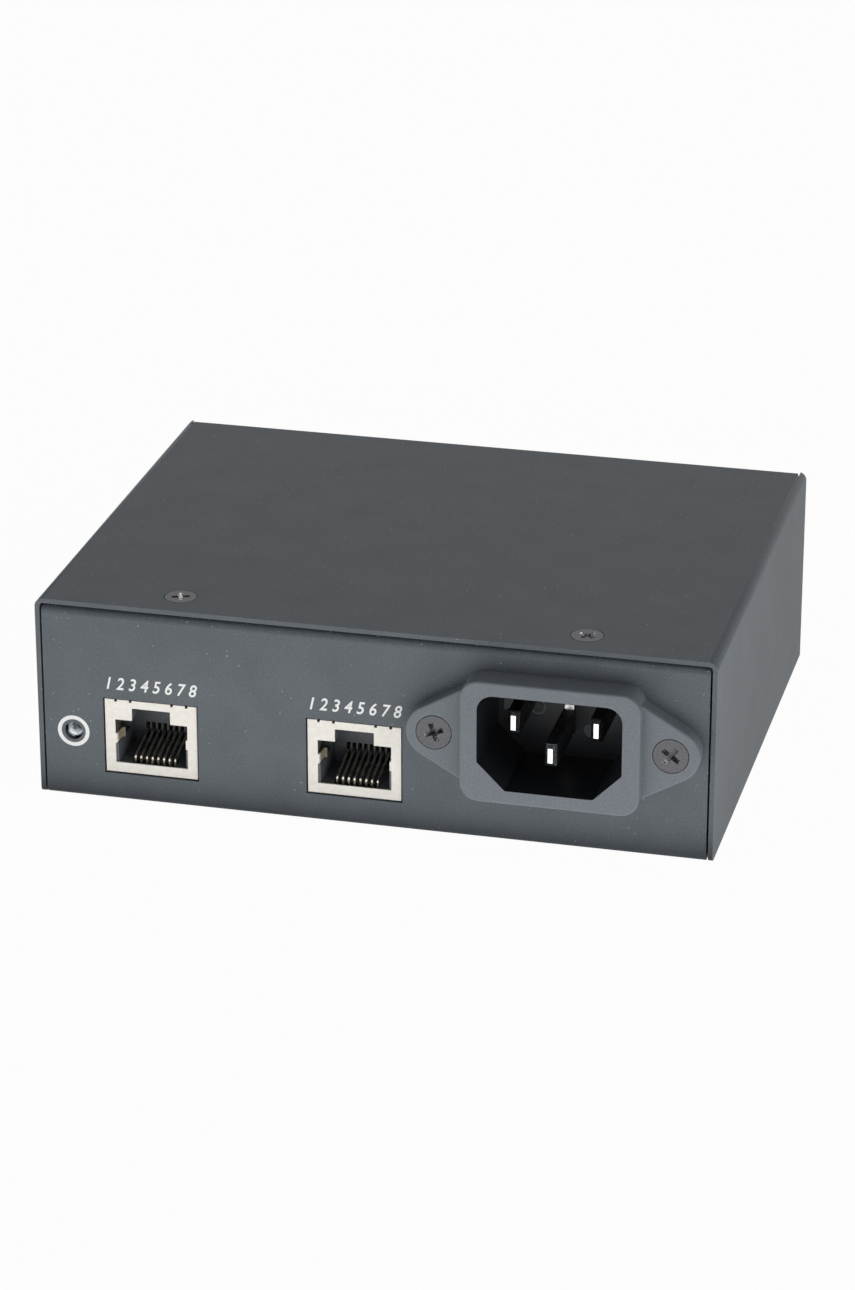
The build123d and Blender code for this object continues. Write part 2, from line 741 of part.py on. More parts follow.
def fuse_caps():
    return Compound(children=[fuse_axis(end) * Cylinder(*fuse_cap) for end in fuse_ends()])


def fuse_clips():
    """Sprung clips that hold the fuse's caps."""
    x, y = fuse_place()
    width, depth, height = clip_size
    clips = []
    for end in fuse_ends():
        middle = y + fuse_size[1] + end
        clip = on_board(x - width / 2, x + width / 2, middle - depth / 2, middle + depth / 2, height)
        clip -= fuse_axis(end) * Cylinder(fuse_cap[0] + thread_gap, depth + 2)
        clip -= block(x - 2.0, x + 2.0, y, y + 20, board_top + height - 1, board_top + height + 2)
        clips.append(clip)
    return Compound(children=clips)


def varistor():
    x, y = board_right - 24.0, notch_rear + 4.0
    radius, thickness, height = varistor_disc
    disc = Pos(x, y, board_top + height) * Rot(90, 0, 0) * Cylinder(radius, thickness)
    legs = [standing(0.4, 4, x + s * 3.75, y, board_top) for s in (-1, 1)]
    return fillet(disc.edges(), 1.2) + legs[0] + legs[1]


def x_capacitor():
    x, y = board_right - 20.0, notch_rear + 14.0
    width, depth, height = x_capacitor_size
    box = on_board(x - width / 2, x + width / 2, y - depth / 2, y + depth / 2, height)
    return fillet(box.edges().filter_by(Axis.Z), 0.6)


def choke_place():
    return (board_right - 18.0, notch_rear + 27.5)


def choke_core():
    """Square ferrite ring on edge."""
    x, y = choke_place()
    width, depth, height = choke_size
    half, low, high = choke_window
    ring = on_board(x - width / 2, x + width / 2, y - depth / 2, y + depth / 2, height)
    return ring - block(x - half, x + half, y - depth, y + depth, board_top + low, board_top + high)


def choke_windings():
    """Two windings round the choke's upright legs."""
    x, y = choke_place()
    leg_half = (choke_size[0] / 2 - choke_window[0]) / 2
    depth_half = choke_size[1] / 2 + fit
    low, high = board_top + coil_span[0], board_top + coil_span[1]
    coils = []
    for s in (-1, 1):
        leg = x + s * (choke_window[0] + leg_half)
        coil = block(leg - coil_half[0], leg + coil_half[0], y - coil_half[1], y + coil_half[1], low, high)
        hole = block(leg - leg_half - fit, leg + leg_half + fit, y - depth_half, y + depth_half,
                     low - 1, high + 1)
        coils.append(fillet(coil.edges().filter_by(Axis.Z), 1.0) - hole)
    return Compound(children=coils)


def rectifier():
    x, y = board_right - 36.0, notch_rear + 12.0
    width, depth, height = rectifier_size
    body = block(x - width / 2, x + width / 2, y - depth / 2, y + depth / 2, board_top + 3, board_top + height)
    for i in range(4):
        leg = y + (i - 1.5) * rectifier_pitch
        body += block(x - 0.3, x + 0.3, leg - 0.5, leg + 0.5, board_top, board_top + 3.1)
    return body


def can(x, y, radius, height):
    """Electrolytic capacitor: sleeved can with a rolled groove and a rounded top."""
    body = standing(radius, height, x, y, board_top)
    body = fillet(body.edges(), 0.8)
    ring = Pos(x, y, board_top + 2.6) * Torus(radius + 0.25, 0.6)
    return body - ring


def bulk_capacitor():
    return can(board_right - 11.5, board_rear - 14.5, *bulk_can)


def heat_sink(x, y0, y1):
    """Upright aluminium plate with a foot."""
    half = sink_size[0] / 2
    plate = on_board(x - half, x + half, y0, y1, sink_size[2])
    return plate + on_board(x - half, x + sink_foot[0], y0, y1, sink_foot[1])


def power_device(x, y):
    """Three-leg device screwed flat against a plate on its right."""
    tab = block(x - 1.3, x, y - 5, y + 5, board_top + 5, board_top + 20)
    body = block(x - 4.5, x - 1.3, y - 5, y + 5, board_top + 5, board_top + 14)
    device = tab + body
    for i in (-1, 0, 1):
        device += block(x - 2.8, x - 2.2, y + i * 2.54 - 0.4, y + i * 2.54 + 0.4, board_top, board_top + 5.1)
    return device - Pos(x, y, board_top + device_hole) * Rot(0, 90, 0) * Cylinder(1.6, 8)


def device_screw(x, y):
    """Screw through the device's tab into its plate."""
    shank = Pos(x + 0.35, y, board_top + device_hole) * Rot(0, 90, 0) * Cylinder(1.48, 3.3)
    head = Pos(x - 2.3, y, board_top + device_hole) * Rot(0, 90, 0) * Cylinder(2.7, 2.0)
    return shank + head


def drilled_sink(x, y0, y1, hole_y):
    return heat_sink(x, y0, y1) - Pos(x, hole_y, board_top + device_hole) * Rot(0, 90, 0) * Cylinder(1.5, 3)


def switch_place():
    return (board_right - 31.0, board_rear - 14.0)


def diode_place():
    return (switch_place()[0] - 40.0, board_rear - 16.0)


def device_node(place):
    x, y = place
    return power_device(x - 1, y)


def sink_node(place):
    x, y = place
    return drilled_sink(x, y - sink_size[1] / 2, y + sink_size[1] / 2, y)


def screw_node(place):
    x, y = place
    return device_screw(x - 1, y)


def transformer_place():
    return (switch_place()[0] - 20.0, board_rear - 15.0)


def transformer_core():
    """Ferrite core: a frame round the winding, with a middle leg."""
    x, y = transformer_place()
    width, depth, height = core_size
    frame = block(x - width / 2, x + width / 2, y - depth / 2, y + depth / 2,
                  board_top + core_foot, board_top + height)
    windows = block(x - 7.5, x - 3, y - 6, y + 6, board_top + 6, board_top + 18)
    windows += block(x + 3, x + 7.5, y - 6, y + 6, board_top + 6, board_top + 18)
    return frame - windows


def transformer_bobbin():
    """Former with two flanges and a pin rail."""
    x, y = transformer_place()
    gap = 3 + fit
    body = block(x - 7.3, x + 7.3, y - 9, y + 9, board_top + 6.1, board_top + 7.1)
    body += block(x - 7.3, x + 7.3, y - 9, y + 9, board_top + 16.9, board_top + 17.9)
    body += block(x - 4, x + 4, y - 6, y + 6, board_top + 6.1, board_top + 17.9)
    body -= block(x - gap, x + gap, y - 5 - fit, y + 5 + fit, board_top, board_top + 24)
    for s in (-1, 1):
        body += block(x - 10, x + 10, y + s * 8 - 1.2, y + s * 8 + 1.2, board_top, board_top + 6.1)
    return body


def transformer_winding():
    x, y = transformer_place()
    body = block(x - 7.0, x + 7.0, y - 8.4, y + 8.4, board_top + 7.2, board_top + 16.8)
    body = fillet(body.edges().filter_by(Axis.Z), 2.0)
    return body - block(x - 4.1, x + 4.1, y - 6.1, y + 6.1, board_top, board_top + 24)


def control_chip():
    x, y = switch_place()
    return small_chip(x - 3.0, y - 20.0, *chip_sizes["control"])


def small_chip(x, y, length, width, height):
    """Two-row chip with four legs on each side."""
    body = block(x - length / 2, x + length / 2, y - width / 2, y + width / 2,
                 board_top + 0.5, board_top + height)
    for i in range(4):
        leg = x + (i - 1.5) * 2.2
        body += block(leg - 0.25, leg + 0.25, y - width / 2 - 0.5, y + width / 2 + 0.5,
                      board_top, board_top + 1.6)
    return body


def optocoupler():
    x, y = transformer_place()
    return small_chip(x, y - 17.0, *chip_sizes["optocoupler"])


def y_capacitor():
    x, y = transformer_place()[0] - 12.0, transformer_place()[1] - 16.0
    disc = Pos(x, y, board_top + 5.6) * Rot(0, 90, 0) * Cylinder(4.2, 3.4)
    legs = [standing(0.4, 3, x, y + s * 3, board_top) for s in (-1, 1)]
    return fillet(disc.edges(), 1.0) + legs[0] + legs[1]


def output_capacitors():
    x, y = diode_place()
    cans = [can(x - 11.5, y + s * 5.6 + 2, *output_can) for s in (-1, 1)]
    return Compound(children=cans)


def output_inductor():
    """Drum core with a winding between its flanges."""
    x, y = diode_place()[0] - 25.0, diode_place()[1] - 2.0
    flange, coil, thickness, height = drum
    low = standing(flange, thickness, x, y, board_top)
    middle = standing(coil, height, x, y, board_top + thickness)
    return low + middle + standing(flange, thickness, x, y, board_top + thickness + height)


def data_transformer():
    """Moulded block that couples the data pairs of both jacks."""
    x = jack_1_x + jack_pitch / 2
    y = front + jack_setback + jack_depth - 2.0
    width, depth, height = data_block
    body = block(x - width / 2, x + width / 2, y - depth / 2, y + depth / 2,
                 board_top + 0.3, board_top + height)
    for i in range(8):
        leg = x + (i - 3.5) * 1.4
        body += block(leg - 0.25, leg + 0.25, y - 6.0, y + 6.0, board_top, board_top + 1.2)
    return body


def power_controller():
    y = front + jack_setback + jack_depth + 9.0
    return small_chip(jack_2_x - 6.0, y, *chip_sizes["controller"])


def write_parts():
    os.makedirs("parts", exist_ok=True)
    save("chassis", chassis())
    save("cover", cover())
    save("cover_screws_top", screw_group(top_screw_places(), cover_screw))
    save("cover_screws_rear", screw_group(rear_screw_places(), cover_screw))
    save("main_board", board())
    save("board_standoffs", standoffs())
    save("board_screws", board_screws())
    save("insulating_sheet", insulating_sheet())
    for name, x in (("jack_1", jack_1_x), ("jack_2", jack_2_x)):
        save(f"{name}_shield", shield(x))
        save(f"{name}_insert", insert(x))
        save(f"{name}_contacts", contacts(x))
        save(f"{name}_tails", tails(x))
    save("status_led", led())
    save("led_holder", led_holder())
    save("inlet_body", inlet_body())
    for name, (x, z, tip) in zip(("line", "neutral", "earth"), inlet_pin_places()):
        save(f"inlet_{name}_pin", inlet_pin(x, z, tip))
    save("inlet_screws", screw_group(inlet_screw_places(), inlet_screw))
    save("inlet_nuts", inlet_nuts())
    save("tab_connectors", tab_connectors())
    save("line_wire", mains_wire(-1))
    save("neutral_wire", mains_wire(1))
    save("earth_wire", earth_wire())
    save("earth_stud", earth_post())
    save("earth_fixings", earth_fixings())
    save("mains_header", mains_header())
    save("mains_plug", mains_plug())
    save("fuse_tube", fuse_tube())
    save("fuse_caps", fuse_caps())
    save("fuse_clips", fuse_clips())
    save("varistor", varistor())
    save("x_capacitor", x_capacitor())
    save("choke_core", choke_core())
    save("choke_windings", choke_windings())
    save("rectifier", rectifier())
    save("bulk_capacitor", bulk_capacitor())
    for name, place in (("switch", switch_place()), ("diode", diode_place())):
        save(f"{name}_device", device_node(place))
        save(f"{name}_heat_sink", sink_node(place))
        save(f"{name}_screw", screw_node(place))
    save("transformer_core", transformer_core())
    save("transformer_bobbin", transformer_bobbin())
    save("transformer_winding", transformer_winding())
    save("control_chip", control_chip())
    save("optocoupler", optocoupler())
    save("y_capacitor", y_capacitor())
    save("output_capacitors", output_capacitors())
    save("output_inductor", output_inductor())
    save("data_transformer", data_transformer())
    save("power_controller", power_controller())


write_parts()
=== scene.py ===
import json
import math

import bpy
from mathutils import Matrix, Vector


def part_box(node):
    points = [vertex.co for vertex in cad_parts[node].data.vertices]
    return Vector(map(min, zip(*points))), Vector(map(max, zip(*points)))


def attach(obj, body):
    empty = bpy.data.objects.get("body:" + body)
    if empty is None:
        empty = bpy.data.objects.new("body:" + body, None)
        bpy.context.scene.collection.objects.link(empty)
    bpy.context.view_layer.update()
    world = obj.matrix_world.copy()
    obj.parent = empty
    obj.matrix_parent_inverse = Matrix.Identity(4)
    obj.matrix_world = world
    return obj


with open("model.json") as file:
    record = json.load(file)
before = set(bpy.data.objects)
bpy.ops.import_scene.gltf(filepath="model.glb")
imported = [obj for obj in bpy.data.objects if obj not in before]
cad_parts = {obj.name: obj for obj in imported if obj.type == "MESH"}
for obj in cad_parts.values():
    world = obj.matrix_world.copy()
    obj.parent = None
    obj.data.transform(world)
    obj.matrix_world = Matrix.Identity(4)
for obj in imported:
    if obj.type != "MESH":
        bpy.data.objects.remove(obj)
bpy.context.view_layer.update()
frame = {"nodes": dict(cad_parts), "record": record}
NODES = frame["nodes"]

bl_info = {
    "name": "Network injector looks",
    "version": (1, 0, 0),
    "blender": (4, 5, 0),
    "location": "View3D > Sidebar > Injector",
    "description": "Finishes, printing, light and stage for a steel-cased power injector",
    "category": "Object",
}

MM = 0.001
CASE_LOW, CASE_HIGH = (Vector(corner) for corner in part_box("cover"))
FRONT = CASE_LOW.y
CASE_BODY = "case"
SOFT_EDGED = ("cover", "chassis", "inlet_body")
LIGHT_HEIGHT = 12.1 * MM      # centre of the status light
PRINT_THICKNESS = 0.02 * MM
NUMBERS_RISE = 2.0 * MM       # printed numbers above a jack's shield
CUP_RADIUS = 1.05 * MM
CUP_DEPTH = 1.2 * MM
CUP_BEHIND = 3.1 * MM         # cup's middle behind the panel's face
SHOULDER_SIZE = (1.7 * MM, 0.5 * MM, 5.8 * MM)
SHOULDER_BEHIND = 11.25 * MM
SMOOTH_ANGLE = math.radians(35)
UPRIGHT = (math.radians(90), 0, 0)
AIM = Vector((0.0064, -0.0311, 0.0282))


# ---- Small helpers ----
def linear(code):
    """Linear RGBA from an sRGB hex code."""
    channels = [int(code[i:i + 2], 16) / 255 for i in (1, 3, 5)]
    return [c / 12.92 if c <= 0.04045 else ((c + 0.055) / 1.055) ** 2.4 for c in channels] + [1.0]


def grain(size_mm):
    """Noise scale that gives features of a real size on Object coordinates."""
    return 1 / (size_mm * MM)


def add(tree, kind, inputs=None, **settings):
    """Adds a node, sets its properties, and links or sets its inputs."""
    node = tree.nodes.new(kind)
    for key, value in settings.items():
        setattr(node, key, value)
    for socket, value in (inputs or {}).items():
        if isinstance(value, bpy.types.NodeSocket):
            tree.links.new(value, node.inputs[socket])
        else:
            node.inputs[socket].default_value = value
    return node


def new_material(name, **values):
    """A material with its shader's uniform values set: returns it, its tree, its shader and the position."""
    material = bpy.data.materials.new(name)
    material.use_nodes = True
    tree = material.node_tree
    shader = tree.nodes["Principled BSDF"]
    for socket, value in values.items():
        shader.inputs[socket.replace("_", " ")].default_value = value
    place = add(tree, "ShaderNodeTexCoord").outputs["Object"]
    return material, tree, shader, place


def noise(tree, place, size_mm, detail=2.0, roughness=0.5):
    inputs = {"Vector": place, "Scale": grain(size_mm), "Detail": detail, "Roughness": roughness}
    return add(tree, "ShaderNodeTexNoise", inputs).outputs["Fac"]


def ramp(tree, factor, stops):
    """Colour ramp: stops are (position, hex code)."""
    node = add(tree, "ShaderNodeValToRGB", {"Fac": factor})
    band = node.color_ramp
    while len(band.elements) < len(stops):
        band.elements.new(0.5)
    for element, (position, code) in zip(band.elements, stops):
        element.position = position
        element.color = linear(code)
    return node.outputs["Color"]


def spread(tree, factor, low, high, start=0.0, end=1.0):
    """Maps a factor's range start..end onto low..high."""
    inputs = {"Value": factor, "From Min": start, "From Max": end, "To Min": low, "To Max": high}
    return add(tree, "ShaderNodeMapRange", inputs).outputs["Result"]


def bump(tree, shader, height, depth_mm, strength=1.0):
    inputs = {"Height": height, "Distance": depth_mm * MM, "Strength": strength}
    tree.links.new(add(tree, "ShaderNodeBump", inputs).outputs["Normal"], shader.inputs["Normal"])


# ---- Materials ----
def textured_powder_coat():
    """Fine-textured polyester powder coat on folded steel: matte, grainy, with tiny pale specks painted in as
    highlights.
    """
    material, tree, shader, place = new_material("textured powder coat", Roughness=0.55, IOR=1.36)
    look = bpy.context.scene.injector_look
    fine = noise(tree, place, look.paint_grain, 3.0, 0.6)
    cloudy = noise(tree, place, 9.0, 2.0)
    body = ramp(tree, fine, [(0.30, "#52585D"), (0.50, "#5E6469"), (0.72, "#6B7176")])
    shade = ramp(tree, cloudy, [(0.3, "#EDEEF0"), (0.7, "#FFFFFF")])
    mix = add(tree, "ShaderNodeMix", {0: 1.0, 6: body, 7: shade}, data_type="RGBA", blend_type="MULTIPLY")
    # painted highlights: a few grains of the coat get a pale colour, standing for grains that catch the light
    specks = ramp(tree, noise(tree, place, 0.5, 0.0), [(0.80, "#000000"), (0.83, "#FFFFFF")])
    pale = add(tree, "ShaderNodeMix", {0: specks, 6: mix.outputs[2], 7: linear("#93989D")}, data_type="RGBA")
    tree.links.new(pale.outputs[2], shader.inputs["Base Color"])
    tree.links.new(spread(tree, fine, 0.42, 0.68, 0.3, 0.7), shader.inputs["Roughness"])
    bump(tree, shader, fine, 0.035, 0.8)
    return material


def metal(name, dark, light, roughness, grain_mm, depth_mm, streak=(1, 1, 1)):
    """Bare or plated metal: tone and gloss drift over its grain, stretched where it is drawn or brushed."""
    material, tree, shader, place = new_material(name, Metallic=1.0)
    stretched = add(tree, "ShaderNodeMapping", {"Vector": place, "Scale": streak}).outputs["Vector"]
    fine = noise(tree, stretched, grain_mm, 4.0, 0.6)
    tree.links.new(ramp(tree, fine, [(0.3, dark), (0.7, light)]), shader.inputs["Base Color"])
    tree.links.new(spread(tree, fine, roughness * 0.75, roughness * 1.3, 0.3, 0.7), shader.inputs["Roughness"])
    bump(tree, shader, fine, depth_mm, 0.5)
    return material


def moulded(name, dark, light, roughness, grain_mm, depth_mm, ior=1.5):
    """Moulded, dipped or pressed surface: a soft tone drift and the mould's fine grain."""
    material, tree, shader, place = new_material(name, Roughness=roughness, IOR=ior)
    fine = noise(tree, place, grain_mm, 3.0, 0.55)
    tree.links.new(ramp(tree, fine, [(0.3, dark), (0.7, light)]), shader.inputs["Base Color"])
    tree.links.new(spread(tree, fine, roughness * 0.85, roughness * 1.15, 0.3, 0.7), shader.inputs["Roughness"])
    bump(tree, shader, fine, depth_mm, 0.6)
    return material


def within(tree, place, centre_mm, half_mm):
    """1 inside a box of the given centre and half sizes, 0 outside."""
    inside = None
    for value, middle, half in zip(add(tree, "ShaderNodeSeparateXYZ", {0: place}).outputs, centre_mm, half_mm):
        near = add(tree, "ShaderNodeMath", {0: value, 1: middle * MM, 2: half * MM}, operation="COMPARE").outputs[0]
        inside = near if inside is None else add(
            tree, "ShaderNodeMath", {0: inside, 1: near}, operation="MULTIPLY").outputs[0]
    return inside


def inlet_nylon():
    """Nylon with a spark-eroded finish outside; inside the cavity it is smoother, and its colour is painted near
    black as shade in the recess.
    """
    material, tree, shader, place = new_material("spark-textured nylon", IOR=1.4)
    fine = noise(tree, place, 0.22, 3.0, 0.55)
    outside = ramp(tree, fine, [(0.3, "#60666C"), (0.7, "#747A80")])
    # painted shade: the cavity's colour is near black, for the shade inside the recess
    painted_cavity_shade = ramp(tree, fine, [(0.3, "#0E1116"), (0.68, "#171B21"), (0.74, "#3A4047")])
    low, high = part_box("inlet_body")
    middle = ((low[0] + high[0]) / 2 / MM, -41.6, (low[2] + high[2]) / 2 / MM)
    cavity_mask = within(tree, place, middle, (12.4, 8.3, 8.6))
    mix = add(tree, "ShaderNodeMix", {0: cavity_mask, 6: outside, 7: painted_cavity_shade}, data_type="RGBA")
    tree.links.new(mix.outputs[2], shader.inputs["Base Color"])
    tree.links.new(spread(tree, cavity_mask, 0.5, 0.38), shader.inputs["Roughness"])
    bump(tree, shader, fine, 0.03, 0.6)
    return material


def pin_nickel():
    """Nickel-plated brass: the sides are painted dark as shade, and the end faces, which face the front, are
    painted bright as a highlight.
    """
    material, tree, shader, place = new_material("nickel-plated brass", Metallic=1.0)
    fine = noise(tree, place, 0.16, 2.0, 0.6)
    painted_shade_sides = ramp(tree, fine, [(0.35, "#16181A"), (0.55, "#33363A"), (0.66, "#8C9094")])
    bright = ramp(tree, fine, [(0.3, "#D9D8D4"), (0.7, "#EFEEEA")])
    normal = add(tree, "ShaderNodeNewGeometry").outputs["True Normal"]
    facing = add(tree, "ShaderNodeSeparateXYZ", {0: normal}).outputs["Y"]
    # painted light: faces turned to the front get the bright colour as a painted highlight, the rest get the dark
    # colour as painted shade
    front = spread(tree, facing, 1.0, 0.0, -0.97, -0.9)
    mix = add(tree, "ShaderNodeMix", {0: front, 6: painted_shade_sides, 7: bright}, data_type="RGBA")
    tree.links.new(mix.outputs[2], shader.inputs["Base Color"])
    tree.links.new(spread(tree, fine, 0.25, 0.5, 0.3, 0.7), shader.inputs["Roughness"])
    bump(tree, shader, fine, 0.02, 0.7)
    return material


def tinned_strip():
    """Matt hot-tinned steel strip: a warm pale satin face; behind the front it is painted darker and tan, as shade
    inside the jack.
    """
    material, tree, shader, place = new_material("tinned strip steel", IOR=1.45)
    fine = noise(tree, place, 0.9, 4.0, 0.6)
    face = ramp(tree, fine, [(0.3, "#EFEADF"), (0.7, "#FAF6EE")])
    painted_jack_shade = ramp(tree, fine, [(0.3, "#7D7260"), (0.7, "#A3977F")])
    depth = add(tree, "ShaderNodeSeparateXYZ", {0: place}).outputs["Y"]
    # painted shade: the strip turns darker from 0.6 to 1.2 mm behind the front, for the shade inside the jack
    behind = spread(tree, depth, 0.0, 1.0, FRONT + 0.6 * MM, FRONT + 1.2 * MM)
    mix = add(tree, "ShaderNodeMix", {0: behind, 6: face, 7: painted_jack_shade}, data_type="RGBA")
    tree.links.new(mix.outputs[2], shader.inputs["Base Color"])
    tree.links.new(spread(tree, fine, 0.32, 0.46, 0.3, 0.7), shader.inputs["Roughness"])
    bump(tree, shader, fine, 0.004, 0.5)
    return material


def screw_zinc():
    """Blackened zinc; the steep faces in the cross recess are painted bright as glints, a painted highlight."""
    material, tree, shader, place = new_material("blackened zinc plating", Metallic=1.0)
    fine = noise(tree, place, 0.25, 4.0, 0.6)
    black = ramp(tree, fine, [(0.3, "#38383A"), (0.7, "#5A5A5D")])
    painted_glint = ramp(tree, fine, [(0.42, "#2A2A2C"), (0.62, "#E4E4E6")])
    normal = add(tree, "ShaderNodeNewGeometry").outputs["True Normal"]
    slope = add(tree, "ShaderNodeSeparateXYZ", {0: normal}).outputs
    flat = add(tree, "ShaderNodeMath", {0: slope["Y"], 1: -1.0}, operation="MULTIPLY").outputs[0]
    flat = add(tree, "ShaderNodeMath", {0: flat, 1: slope["Z"]}, operation="MAXIMUM").outputs[0]
    back = add(tree, "ShaderNodeMath", {0: flat, 1: slope["Y"]}, operation="MAXIMUM").outputs[0]
    # painted highlight: faces turned neither to the front, up nor back get the bright colour
    steep = spread(tree, back, 1.0, 0.0, 0.8, 0.95)
    mix = add(tree, "ShaderNodeMix", {0: steep, 6: black, 7: painted_glint}, data_type="RGBA")
    tree.links.new(mix.outputs[2], shader.inputs["Base Color"])
    tree.links.new(spread(tree, fine, 0.28, 0.48, 0.3, 0.7), shader.inputs["Roughness"])
    bump(tree, shader, fine, 0.01, 0.5)
    return material


def clear(name, tint, ior, roughness):
    """Cast clear resin or glass: faint waviness in a see-through body."""
    material, tree, shader, place = new_material(name, Roughness=roughness, IOR=ior)
    shader.inputs["Transmission Weight"].default_value = 1.0
    wave = noise(tree, place, 1.2, 1.0)
    tree.links.new(ramp(tree, wave, [(0.3, tint), (0.7, "#FFFFFF")]), shader.inputs["Base Color"])
    bump(tree, shader, wave, 0.02, 0.4)
    return material


def make_materials():
    """One material for each of the record's slots."""
    return {
        "case_paint": textured_powder_coat(),
        "black_screw": screw_zinc(),
        # bright zinc: pale blue-grey, lightly clouded
        "bright_steel": metal("bright zinc plating", "#A9ABAD", "#C9CBCC", 0.3, 0.8, 0.005),
        "shield_tin": tinned_strip(),
        # glass-filled PBT: dark grey and slightly glossy
        "jack_plastic": moulded("glass-filled PBT", "#4A4E53", "#5C6065", 0.42, 0.3, 0.01),
        # gold over spring bronze: deep yellow, bright where it bends
        "contact_gold": metal("gold-flashed spring bronze", "#C4B9A4", "#F2EADA", 0.3, 0.3, 0.004, (1, 0.2, 0.2)),
        "inlet_plastic": inlet_nylon(),
        "pin_nickel": pin_nickel(),
        "led_clear": clear("clear epoxy", "#E8EEF0", 1.55, 0.03),
        "black_plastic": moulded("black ABS", "#101112", "#1B1C1E", 0.4, 0.4, 0.01),
        "white_plastic": moulded("natural nylon", "#D2CCBC", "#E3DED0", 0.45, 0.6, 0.01),
        "board_green": moulded("green solder mask", "#0D3A22", "#14502F", 0.25, 1.5, 0.006),
        "brass_post": metal("turned brass", "#B08D45", "#D6B567", 0.28, 0.5, 0.006),
        "film": moulded("polyester film", "#1B1B1C", "#262627", 0.3, 3.0, 0.01),
        "brown_wire": moulded("brown PVC", "#4B2C18", "#5E3A22", 0.45, 0.8, 0.01),
        "blue_wire": moulded("blue PVC", "#1C3F86", "#29519E", 0.45, 0.8, 0.01),
        "earth_wire_green": moulded("green PVC", "#3D7A22", "#56963A", 0.45, 0.8, 0.01),
        "sleeve_clear": moulded("milky PVC", "#BEBFBA", "#D3D4CF", 0.35, 1.0, 0.01),
        "fuse_glass": clear("soda-lime glass", "#E4EFEC", 1.52, 0.02),
        "cap_yellow": moulded("yellow polypropylene", "#C9921C", "#DCA62B", 0.35, 1.0, 0.01),
        "disc_blue": moulded("blue dipped epoxy", "#1D4F97", "#2B63AE", 0.3, 0.9, 0.03),
        "ferrite": moulded("ground ferrite", "#232326", "#34343A", 0.5, 0.3, 0.02),
        "copper": metal("enamelled copper wire", "#7E3F1E", "#B5673A", 0.3, 0.4, 0.03, (0.2, 1, 3)),
        "can_sleeve": moulded("dark blue shrink sleeve", "#12152E", "#1C2042", 0.35, 1.2, 0.01),
        "sink_aluminium": metal("milled aluminium", "#A8AAAC", "#C8CACC", 0.36, 0.4, 0.008, (1, 0.1, 1)),
        "tape_yellow": moulded("yellow polyester tape", "#B99A2A", "#CDAF3D", 0.3, 1.4, 0.02),
    }


# ---- Properties ----
class InjectorLook(bpy.types.PropertyGroup):
    """Finish of the case and the printing."""
    paint_grain: bpy.props.FloatProperty(
        name="Paint grain", description="Size of the coat's grains, in millimetres", default=0.30, min=0.05)
    edge_radius: bpy.props.FloatProperty(
        name="Edge radius", description="Rounding of cut sheet edges under the paint", default=0.12 * MM,
        min=0, unit="LENGTH", subtype="DISTANCE")
    ring_outer: bpy.props.FloatProperty(
        name="Ring radius", description="Outer radius of the ring printed round the light", default=2.83 * MM,
        unit="LENGTH", subtype="DISTANCE")
    ring_inner: bpy.props.FloatProperty(
        name="Ring hole", description="Inner radius of the printed ring", default=2.15 * MM,
        unit="LENGTH", subtype="DISTANCE")
    digit_height: bpy.props.FloatProperty(
        name="Digit height", description="Height of the printed contact numbers", default=2.3 * MM,
        unit="LENGTH", subtype="DISTANCE")
    stroke: bpy.props.FloatProperty(
        name="Stroke", description="Extra weight of the printed digits' strokes", default=0.05 * MM,
        unit="LENGTH", subtype="DISTANCE")
    row_width: bpy.props.FloatProperty(
        name="Row width", description="Width of each row of printed contact numbers", default=16.0 * MM,
        unit="LENGTH", subtype="DISTANCE")


class InjectorStage(bpy.types.PropertyGroup):
    """Camera, lamps and floor."""
    azimuth: bpy.props.FloatProperty(
        name="Camera azimuth", description="Camera's turn to the right of the front", default=math.radians(13.83),
        subtype="ANGLE", unit="ROTATION")
    elevation: bpy.props.FloatProperty(
        name="Camera elevation", description="Camera's height above the horizon", default=math.radians(23.12),
        subtype="ANGLE", unit="ROTATION")
    distance: bpy.props.FloatProperty(
        name="Camera distance", description="From the aim point to the camera", default=0.7243,
        unit="LENGTH", subtype="DISTANCE")
    lens: bpy.props.FloatProperty(name="Lens", description="Focal length in millimetres", default=119.66)
    world_level: bpy.props.FloatProperty(name="Surround", description="Light from all round", default=0.08)
    key_power: bpy.props.FloatProperty(name="Key", description="Softbox at the front left", default=0.75)
    side_power: bpy.props.FloatProperty(name="Side", description="Softbox at the right", default=2.55)
    top_power: bpy.props.FloatProperty(name="Top", description="Softbox overhead", default=0.5)
    fill_power: bpy.props.FloatProperty(name="Fill", description="Softbox behind, for the rear wall", default=1.6)
    floor_white: bpy.props.FloatProperty(
        name="Floor white", description="How far the floor is plain white, from 0 to 1; the rest shows the shadow",
        default=0.97, min=0, max=1)
    table_power: bpy.props.FloatProperty(name="Table", description="Glow of the table in front", default=1.15)


# ---- Modelling helpers ----
def deselect():
    bpy.ops.object.select_all(action="DESELECT")


def settle(obj, name, material):
    """Names a finished piece, puts its place in its mesh, gives it its material and lets it ride on the case."""
    obj.name = name
    obj.data.name = name
    deselect()
    obj.select_set(True)
    bpy.context.view_layer.objects.active = obj
    bpy.ops.object.transform_apply(location=True, rotation=True, scale=True)
    obj.data.materials.clear()
    obj.data.materials.append(material)
    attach(obj, CASE_BODY)
    return obj


